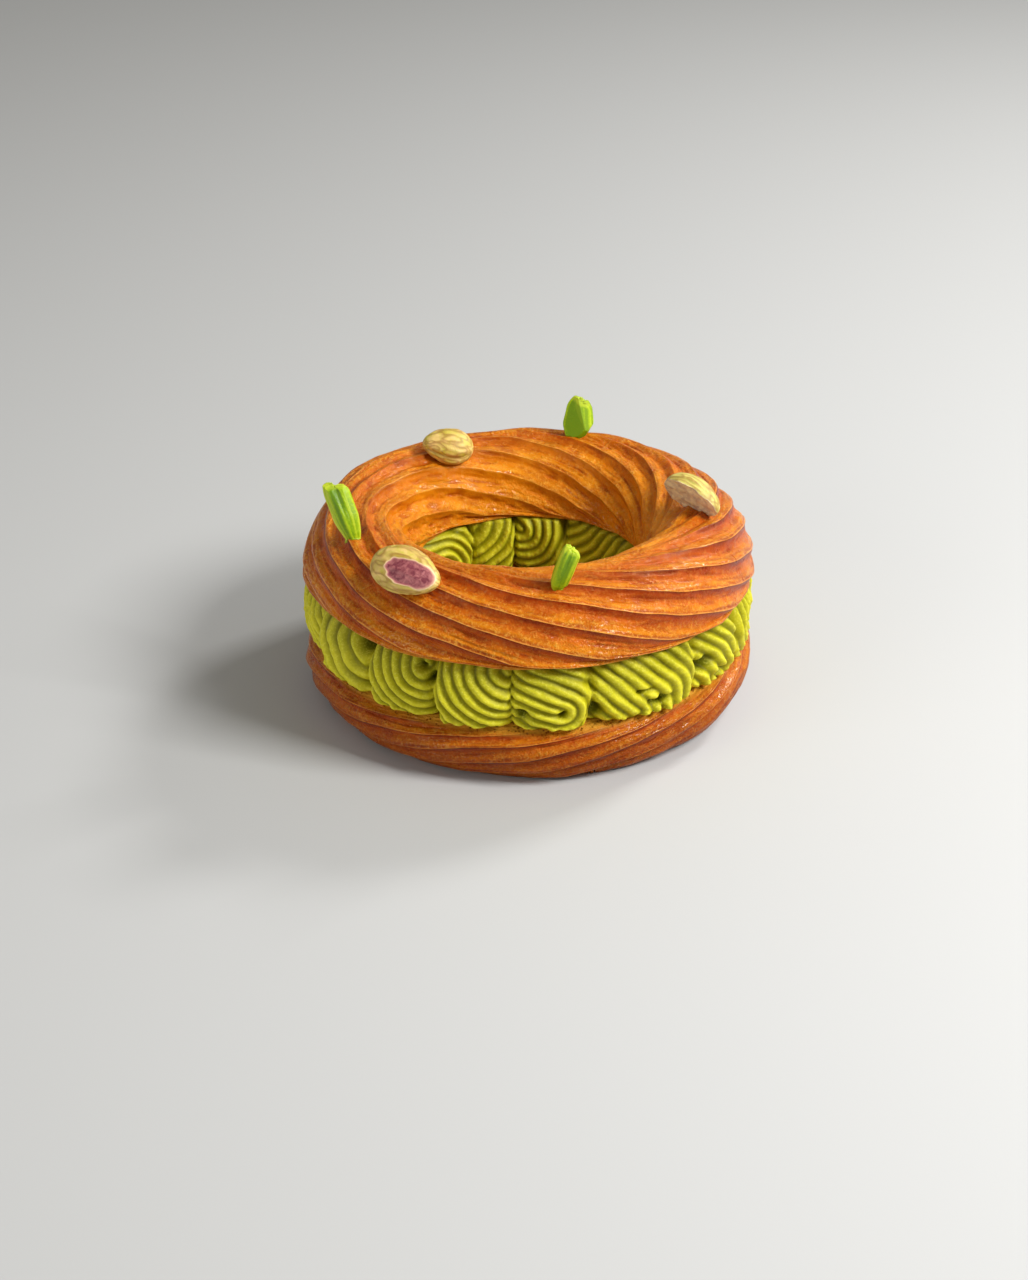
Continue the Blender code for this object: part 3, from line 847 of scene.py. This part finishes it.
def ramp(tree, value, stops):
    """A colour that changes along the given stops, each a position and a colour."""
    made = node(tree, "ValToRGB", {"Fac": value})
    ends = made.color_ramp.elements
    ends[0].position, ends[1].position = stops[0][0], stops[-1][0]
    for position, colour in stops[1:-1]:
        ends.new(position)
    for element, (position, colour) in zip(ends, stops):
        element.color = (*colour, 1.0)
    return made.outputs["Color"]


def attribute(tree, name):
    return node(tree, "Attribute", attribute_name=name).outputs["Fac"]


def in_millimetres(tree):
    """The place on the object in mm, as textures' sizes are."""
    place = node(tree, "TexCoord").outputs["Object"]
    return node(tree, "VectorMath", {0: place, "Scale": 1000.0}, operation="SCALE").outputs[0]


def height_of(tree, place):
    return node(tree, "SeparateXYZ", {"Vector": place}).outputs["Z"]


def new_material(name):
    material = bpy.data.materials.new(name)
    material.use_nodes = True
    return material, material.node_tree, material.node_tree.nodes["Principled BSDF"]


# %% [markdown]
# ## Effects that several materials share
#
# Three effects come back in more than one material, so each is a node group, built once: grain, the fine
# unevenness of a dry or baked skin; mottling, slow changes of colour; and pores, the pits of crumb and of
# whipped cream. Their sizes are inputs in millimetres, which each material sets for itself.

# %% Node groups
def new_group(name, inputs, outputs):
    """inputs and outputs give each socket its type: Float, Vector or Color."""
    group = bpy.data.node_groups.new(name, "ShaderNodeTree")
    for way, sockets in (("INPUT", inputs), ("OUTPUT", outputs)):
        for label, kind in sockets.items():
            group.interface.new_socket(label, in_out=way, socket_type="NodeSocket" + kind)
    return group, group.nodes.new("NodeGroupInput").outputs, group.nodes.new("NodeGroupOutput").inputs


def frequency(tree, size):
    return calc(tree, "DIVIDE", 1.0, size)


def grain_group():
    """Fine grain, as a height."""
    group, given, result = new_group("Grain", {"Place": "Vector", "Size": "Float"}, {"Height": "Float"})
    scale = frequency(group, given["Size"])
    fine = {"Vector": given["Place"], "Scale": scale, "Detail": 4.0, "Roughness": 0.6, "Distortion": 0.3}
    feed(group, result["Height"], node(group, "TexNoise", fine).outputs["Fac"])
    return group


def mottle_group():
    """Slow changes between two colours, with a second, finer noise in the border."""
    inputs = {"Place": "Vector", "Size": "Float", "First": "Color", "Second": "Color", "Share": "Float"}
    group, given, result = new_group("Mottling", inputs, {"Color": "Color"})
    scale = frequency(group, given["Size"])
    slow = {"Vector": given["Place"], "Scale": scale, "Detail": 5.0, "Roughness": 0.55, "Distortion": 0.6}
    value = node(group, "TexNoise", slow).outputs["Fac"]
    low = calc(group, "SUBTRACT", 0.75, times(group, given["Share"], 0.5))
    mask = span(group, value, calc(group, "SUBTRACT", low, 0.13), calc(group, "ADD", low, 0.13))
    feed(group, result["Color"], blend(group, mask, given["First"], given["Second"]))
    return group


def pore_group():
    """Small round pits: 0 between them and 1 at the bottom of one."""
    inputs = {"Place": "Vector", "Spacing": "Float", "Width": "Float"}
    group, given, result = new_group("Pores", inputs, {"Mask": "Float"})
    cells = {"Vector": given["Place"], "Scale": frequency(group, given["Spacing"]), "Randomness": 1.0}
    distance = node(group, "TexVoronoi", cells, feature="F1").outputs["Distance"]
    mask = span(group, distance, given["Width"], times(group, given["Width"], 0.35))
    feed(group, result["Mask"], mask)
    return group


GRAIN, MOTTLING, PORES = grain_group(), mottle_group(), pore_group()
print("node groups:", ", ".join(group.name for group in (GRAIN, MOTTLING, PORES)))


def use(tree, group, **inputs):
    """Places a node group and returns its outputs."""
    return node(tree, "Group", inputs, node_tree=group).outputs


def bumps(tree, height, depth, strength=1.0):
    inputs = {"Height": height, "Distance": depth, "Strength": strength}
    return node(tree, "Bump", inputs).outputs["Normal"]


def finish_surface(tree, shader, colour, roughness, normal, specular, see_through):
    """see_through: how much light enters the surface, how far red, green and blue get, and their scale."""
    feed_all(tree, shader, {"Base Color": colour, "Roughness": roughness, "Normal": normal})
    weight, reach, scale = see_through
    feed_all(tree, shader, {"Specular IOR Level": specular, "Subsurface Weight": weight})
    feed_all(tree, shader, {"Subsurface Radius": reach, "Subsurface Scale": scale})


# %% [markdown]
# ## The crust
#
# Baking browns what stands out. Under each crest runs a dark red-brown line, partly browning and partly
# painted shade on the crest's lower side, and from there the flank turns orange and golden up to the next
# crest, whose
# thin pale line is a painted highlight. The marks `wave_cos` and `wave_sin` give the place between two
# crests:
# their arctangent is a share from 0 to 1, and one colour ramp on it does most of the work. Noise bends it,
# mottling and creases brown some places more, painted light makes the inner wall lighter and yellower,
# painted shade darkens the lower half and the crumb's pores, and gold specks, partly painted glints, lie on
# the flanks.
# The glaze is a clear coat in spots, with low waves.

# %% Crust material
# The dark line under a crest is partly browning and partly painted shade; the last stop is a painted
# highlight on the crest
FALL_STOPS = (  # from the dark line under a crest, over the golden flank, to the next crest
    (0.0, (0.17, 0.010, 0.0005)), (0.1, (0.32, 0.034, 0.0008)), (0.26, (0.45, 0.068, 0.001)),
    (0.5, (0.58, 0.118, 0.001)), (0.80, (0.70, 0.212, 0.002)), (0.93, (0.50, 0.088, 0.001)),
    (0.985, (0.88, 0.36, 0.06)),
)
# painted light: the inner wall is made lighter and yellower
CRUST_INNER_GLOW = (0.82, 0.285, 0.003)
CRUST_BROWNED = (0.66, 0.42, 0.25)
# gold specks of the crust, partly painted glints
CRUST_SPECK_GLINT = (0.96, 0.52, 0.07)
CRUST_STREAK = (0.72, 0.52, 0.30)
CRUST_LOW_SHADE = (0.56, 0.38, 0.2)  # painted shade that darkens the lower half
CRUMB_COLOUR = (0.66, 0.31, 0.030)
# painted shade in the crumb's pores
CRUMB_PORE_SHADE = (0.26, 0.07, 0.004)
UNTINTED = (1.0, 1.0, 1.0)
GRAIN_DEPTH = 0.36 * MM
GLAZE_WAVE = 0.9  # mm
GLAZE_DEPTH = 0.16 * MM


def fall_from_crest(tree, marks):
    """0 just under a crest, growing to 1 just above the next one down."""
    wave = calc(tree, "ARCTAN2", marks["wave_sin"], marks["wave_cos"])
    share = calc(tree, "FRACT", calc(tree, "DIVIDE", wave, 2 * math.pi))
    outer = calc(tree, "SUBTRACT", 1.0, marks["side"])
    up_outside = times(tree, calc(tree, "SUBTRACT", 1.0, share), outer)
    return calc(tree, "MULTIPLY_ADD", share, marks["side"], up_outside)


def crust_colour(tree, place, marks, fall, grains):
    fine, coarse, wide = grains
    # The bend is nothing at a crest, where the colour changes sharply, and most between two
    room = times(tree, times(tree, fall, calc(tree, "SUBTRACT", 1.0, fall)), 3.0)
    bend = times(tree, calc(tree, "SUBTRACT", wide, 0.5), room)
    # This ramp paints shade under each crest and a thin highlight on it
    colour = ramp(tree, calc(tree, "ADD", fall, bend), FALL_STOPS)
    # Painted light: the inner wall is made lighter and yellower, for its glow
    colour = blend(tree, times(tree, marks["inner"], 0.6), colour, CRUST_INNER_GLOW)
    browned = use(tree, MOTTLING, Place=place, Size=9.0, First=UNTINTED, Second=CRUST_BROWNED, Share=0.45)
    colour = blend(tree, 0.55, colour, browned["Color"], "MULTIPLY")
    colour = blend(tree, span(tree, marks["crease"], 0.05, 0.45), colour, CRUST_STREAK, "MULTIPLY")
    # Gold specks on the flanks, partly the crust's grain and partly painted glints
    speck_glint = span(tree, times(tree, coarse, fine), 0.24, 0.36)
    speck_glint = times(tree, speck_glint, span(tree, fall, 0.2, 0.7, 0.08, 0.4))
    colour = blend(tree, speck_glint, colour, CRUST_SPECK_GLINT)
    # Painted shade: the lower half is darkened towards the floor
    low_shade = span(tree, height_of(tree, place), 15.0, 6.0)
    return blend(tree, low_shade, colour, CRUST_LOW_SHADE, "MULTIPLY")


def crust_material():
    material, tree, shader = new_material("Baked choux crust")
    place = in_millimetres(tree)
    marks = {name: attribute(tree, name) for name in CRUST_MARKS}
    grains = [use(tree, GRAIN, Place=place, Size=size)["Height"] for size in (0.42, 1.1, 2.4)]
    fine, coarse, wide = grains
    fall = fall_from_crest(tree, marks)
    colour = crust_colour(tree, place, marks, fall, grains)
    pores = use(tree, PORES, Place=place, Spacing=0.9, Width=0.34)["Mask"]
    # The crumb's pores are painted dark, a painted shade in the pits
    colour = blend(tree, marks["crumb"], colour, blend(tree, pores, CRUMB_COLOUR, CRUMB_PORE_SHADE))
    shine = span(tree, wide, 0.3, 0.7, 0.24, 0.42)
    roughness = calc(tree, "MULTIPLY_ADD", marks["crumb"], 0.25, shine)
    pits = times(tree, times(tree, pores, marks["crumb"]), -1.2)
    grain = calc(tree, "MULTIPLY_ADD", coarse, 0.9, fine)
    height = calc(tree, "MULTIPLY_ADD", grain, span(tree, fall, 0.1, 0.6, 0.35, 1.0), pits)
    normal = bumps(tree, height, GRAIN_DEPTH)
    finish_surface(tree, shader, colour, roughness, normal, 0.42, (0.08, (1.0, 0.3, 0.05), 0.9 * MM))
    waves = node(tree, "TexNoise", {"Vector": place, "Scale": 1 / GLAZE_WAVE, "Detail": 2.0})
    coat_normal = bumps(tree, waves.outputs["Fac"], GLAZE_DEPTH)
    spots = span(tree, fine, 0.48, 0.66, 0.0, 0.8)
    glint = times(tree, spots, span(tree, fall, 0.3, 0.8, 0.3, 1.0))
    glint = times(tree, glint, calc(tree, "SUBTRACT", 1.0, marks["crumb"]))
    feed_all(tree, shader, {"Coat Normal": coat_normal, "Coat Weight": glint})
    feed_all(tree, shader, {"Coat Roughness": 0.14, "Specular Tint": (1.0, 0.55, 0.2)})
    return material


crust = crust_material()
for piece in (lid, base):
    piece.data.materials.append(crust)
print(crust.name, "has", len(crust.node_tree.nodes), "nodes")

# %% [markdown]
# ## The cream
#
# Pistachio cream is soft and slightly see-through: light enters a rib and leaves it again near by, which
# lightens the ribs. Subsurface scattering does that. The colour runs from deep olive in the grooves, a
# painted shade, to pale yellow-green on the ribs. Painted shade also darkens it in the hollows and under the
# lid, and it has tiny pores of whipped air.

# %% Cream material
# painted shade in the grooves
CREAM_GROOVE_SHADE = (0.24, 0.215, 0.001)
CREAM_SIDE = (0.44, 0.395, 0.002)
CREAM_RIB = (0.70, 0.635, 0.022)
CREAM_FLECK = (0.84, 0.78, 0.11)
CREAM_SHADE = (0.30, 0.33, 0.15)
CREAM_UNEVEN = (0.80, 0.82, 0.6)


def cream_material():
    material, tree, shader = new_material("Piped pistachio cream")
    place = in_millimetres(tree)
    rib = attribute(tree, "rib")
    fine = use(tree, GRAIN, Place=place, Size=0.5)["Height"]
    bent = calc(tree, "ADD", rib, calc(tree, "MULTIPLY_ADD", fine, 0.3, -0.15))
    # Painted shade: the grooves are deep olive, the ribs pale
    colour = ramp(tree, bent, ((0.0, CREAM_GROOVE_SHADE), (0.3, CREAM_SIDE), (0.85, CREAM_RIB)))
    uneven = use(tree, MOTTLING, Place=place, Size=5.0, First=UNTINTED, Second=CREAM_UNEVEN, Share=0.5)
    colour = blend(tree, 0.8, colour, uneven["Color"], "MULTIPLY")
    # Painted shade in the hollows under folded strands
    hollow_shade = span(tree, attribute(tree, "sunk"), 0.15, 0.7)
    colour = blend(tree, hollow_shade, colour, CREAM_SHADE, "MULTIPLY")
    # Painted shadow of the lid: the cream is darker towards its top
    lid_shadow = span(tree, height_of(tree, place), 22.0, 28.0, 0.0, 0.45)
    colour = blend(tree, lid_shadow, colour, CREAM_SHADE, "MULTIPLY")
    fleck = times(tree, span(tree, fine, 0.5, 0.75), times(tree, rib, 0.7))
    colour = blend(tree, fleck, colour, CREAM_FLECK)
    pores = use(tree, PORES, Place=place, Spacing=1.7, Width=0.08)["Mask"]
    normal = bumps(tree, calc(tree, "SUBTRACT", fine, pores), 0.12 * MM, 0.6)
    roughness = span(tree, fine, 0.3, 0.7, 0.42, 0.6)
    finish_surface(tree, shader, colour, roughness, normal, 0.18, (0.2, (1.0, 0.9, 0.15), 1.0 * MM))
    return material


filling = cream_material()
cream.data.materials.append(filling)
print(filling.name, "has", len(filling.node_tree.nodes), "nodes")

# %% [markdown]
# ## Nut skin and green nut
#
# The kernels' dry skin is pale straw with olive mottling, darker in its wrinkles and fresher on the half
# kernel. The mark `patch` shows the purple skin below, with a thin pale rim, and `broken` the mealy face.
# The slivers are bare green nut, brighter on their long edges, partly a painted highlight, darker in the
# split, a painted shade, and paler where the tip is broken.

# %% Nut materials
SKIN_STRAW = (0.82, 0.56, 0.17)
SKIN_OLIVE = (0.58, 0.48, 0.05)
SKIN_FRESH = (0.60, 0.54, 0.12)
SKIN_WRINKLE = (0.34, 0.15, 0.02)
SKIN_RIM = (0.86, 0.64, 0.34)
SKIN_BLUSH = (0.66, 0.30, 0.22)
SKIN_PURPLE = (0.20, 0.028, 0.045)
SKIN_MAUVE = (0.48, 0.155, 0.15)
BROKEN_PALE = (0.88, 0.72, 0.42)
BROKEN_MAUVE = (0.58, 0.42, 0.28)
GREEN_DEEP = (0.14, 0.27, 0.001)
GREEN_BRIGHT = (0.33, 0.49, 0.002)
GREEN_PALE = (0.58, 0.66, 0.04)


def kernel_material():
    material, tree, shader = new_material("Dry nut skin")
    place = in_millimetres(tree)
    marks = {name: attribute(tree, name) for name in KERNEL_MARKS}
    fine = use(tree, GRAIN, Place=place, Size=0.45)["Height"]

    def mottled(size, first, second, share):
        given = {"Place": place, "Size": size, "First": first, "Second": second, "Share": share}
        return use(tree, MOTTLING, **given)["Color"]

    skin = mottled(2.6, SKIN_STRAW, SKIN_OLIVE, 0.5)
    skin = blend(tree, times(tree, marks["fresh"], 0.7), skin, SKIN_FRESH)
    colour = blend(tree, span(tree, marks["wrinkle"], 0.35, 0.95, 0.0, 0.72), skin, SKIN_WRINKLE)
    stops = ((0.0, SKIN_RIM), (0.22, SKIN_RIM), (0.4, SKIN_BLUSH), (0.62, SKIN_MAUVE))
    colour = blend(tree, span(tree, marks["patch"], 0.0, 0.2), colour, ramp(tree, marks["patch"], stops))
    purple = mottled(1.1, SKIN_PURPLE, SKIN_MAUVE, 0.45)
    colour = blend(tree, span(tree, marks["patch"], 0.5, 0.85), colour, purple)
    colour = blend(tree, marks["broken"], colour, mottled(1.5, BROKEN_PALE, BROKEN_MAUVE, 0.5))
    height = calc(tree, "ADD", fine, times(tree, marks["wrinkle"], -0.5))
    normal = bumps(tree, height, 0.15 * MM, 0.8)
    roughness = span(tree, fine, 0.3, 0.7, 0.42, 0.6)
    finish_surface(tree, shader, colour, roughness, normal, 0.5, (0.1, (1.0, 0.8, 0.4), 0.8 * MM))
    return material


def green_material():
    material, tree, shader = new_material("Bare green nut")
    place = in_millimetres(tree)
    fine = use(tree, GRAIN, Place=place, Size=0.5)["Height"]
    bent = calc(tree, "ADD", attribute(tree, "fibre"), calc(tree, "MULTIPLY_ADD", fine, 0.8, -0.4))
    colour = ramp(tree, bent, ((0.0, GREEN_DEEP), (0.45, GREEN_BRIGHT), (1.0, GREEN_PALE)))
    colour = blend(tree, times(tree, attribute(tree, "tip"), 0.55), colour, GREEN_PALE)
    normal = bumps(tree, fine, 0.1 * MM, 0.7)
    roughness = span(tree, fine, 0.3, 0.7, 0.36, 0.5)
    finish_surface(tree, shader, colour, roughness, normal, 0.3, (0.2, (0.6, 1.0, 0.2), 0.8 * MM))
    return material


skin, green = kernel_material(), green_material()
for piece in kernels:
    piece.data.materials.append(skin)
for piece in slivers:
    piece.data.materials.append(green)
print("materials:", ", ".join(material.name for material in (crust, filling, skin, green)))

# %% [markdown]
# ## Floor, light and camera
#
# The pastry stands on a plain pale floor. A soft light from the right models the ridges and the cream, a low
# weak one fills the left, and a small one behind at the right draws highlights on the glaze. The camera
# stands where the photograph's did: its height above the horizon was found from the ring's outlines.

# %% Floor
FLOOR_HALF = 3.0  # metres
FLOOR_COLOUR = (0.52, 0.52, 0.51, 1.0)


def stage_floor():
    corners = [(x * FLOOR_HALF, y * FLOOR_HALF, 0.0) for x, y in ((-1, -1), (1, -1), (1, 1), (-1, 1))]
    floor = add_piece("floor", corners, [(0, 1, 2, 3)])
    material, _, shader = new_material("Pale floor")
    shader.inputs["Base Color"].default_value = FLOOR_COLOUR
    shader.inputs["Roughness"].default_value = 0.75
    floor.data.materials.append(material)


stage_floor()

# %% Lights
def soft_light(name, azimuth, elevation, distance, size, watts):
    """A square light that looks at the ring's middle, its angles in degrees."""
    a, e = math.radians(azimuth), math.radians(elevation)
    data = bpy.data.lights.new(name, "AREA")
    data.size, data.energy = size, watts
    light = new_object(name, data)
    light.location = around(a, distance * math.cos(e), distance * math.sin(e))
    light.rotation_euler = light.location.to_track_quat("Z", "Y").to_euler()


soft_light("key_right", 64, 44, 0.7, 0.24, 5.4)
soft_light("fill_left", -52, 18, 0.9, 0.5, 2.0)
soft_light("gloss_back_right", 130, 40, 0.8, 0.16, 3.2)

world = bpy.data.worlds.new("studio")
world.use_nodes = True
sky = world.node_tree.nodes["Background"].inputs
sky["Color"].default_value = (1.0, 0.98, 0.92, 1.0)
sky["Strength"].default_value = 0.26
bpy.context.scene.world = world
bpy.context.scene.view_settings.view_transform = "Standard"

# %% Camera
CAMERA_ELEVATION = math.radians(29.5)
CAMERA_DISTANCE = 0.5835
CAMERA_LENS = 70.3
SENSOR_HEIGHT = 36.0
PHOTO_HEIGHT = 1280  # the photograph's pixels
SHIFT_PIXELS = (-15.0, 33.8)


def add_camera():
    data = bpy.data.cameras.new("photo_view")
    data.lens, data.sensor_fit, data.sensor_height = CAMERA_LENS, "VERTICAL", SENSOR_HEIGHT
    data.shift_x, data.shift_y = (pixels / PHOTO_HEIGHT for pixels in SHIFT_PIXELS)
    camera = new_object("photo_view", data)
    level, height = math.cos(CAMERA_ELEVATION), math.sin(CAMERA_ELEVATION)
    camera.location = around(0.0, CAMERA_DISTANCE * level, CAMERA_DISTANCE * height)
    camera.rotation_euler = (math.pi / 2 - CAMERA_ELEVATION, 0.0, 0.0)
    bpy.context.scene.camera = camera
    print("camera at", [round(value, 3) for value in camera.location])


add_camera()
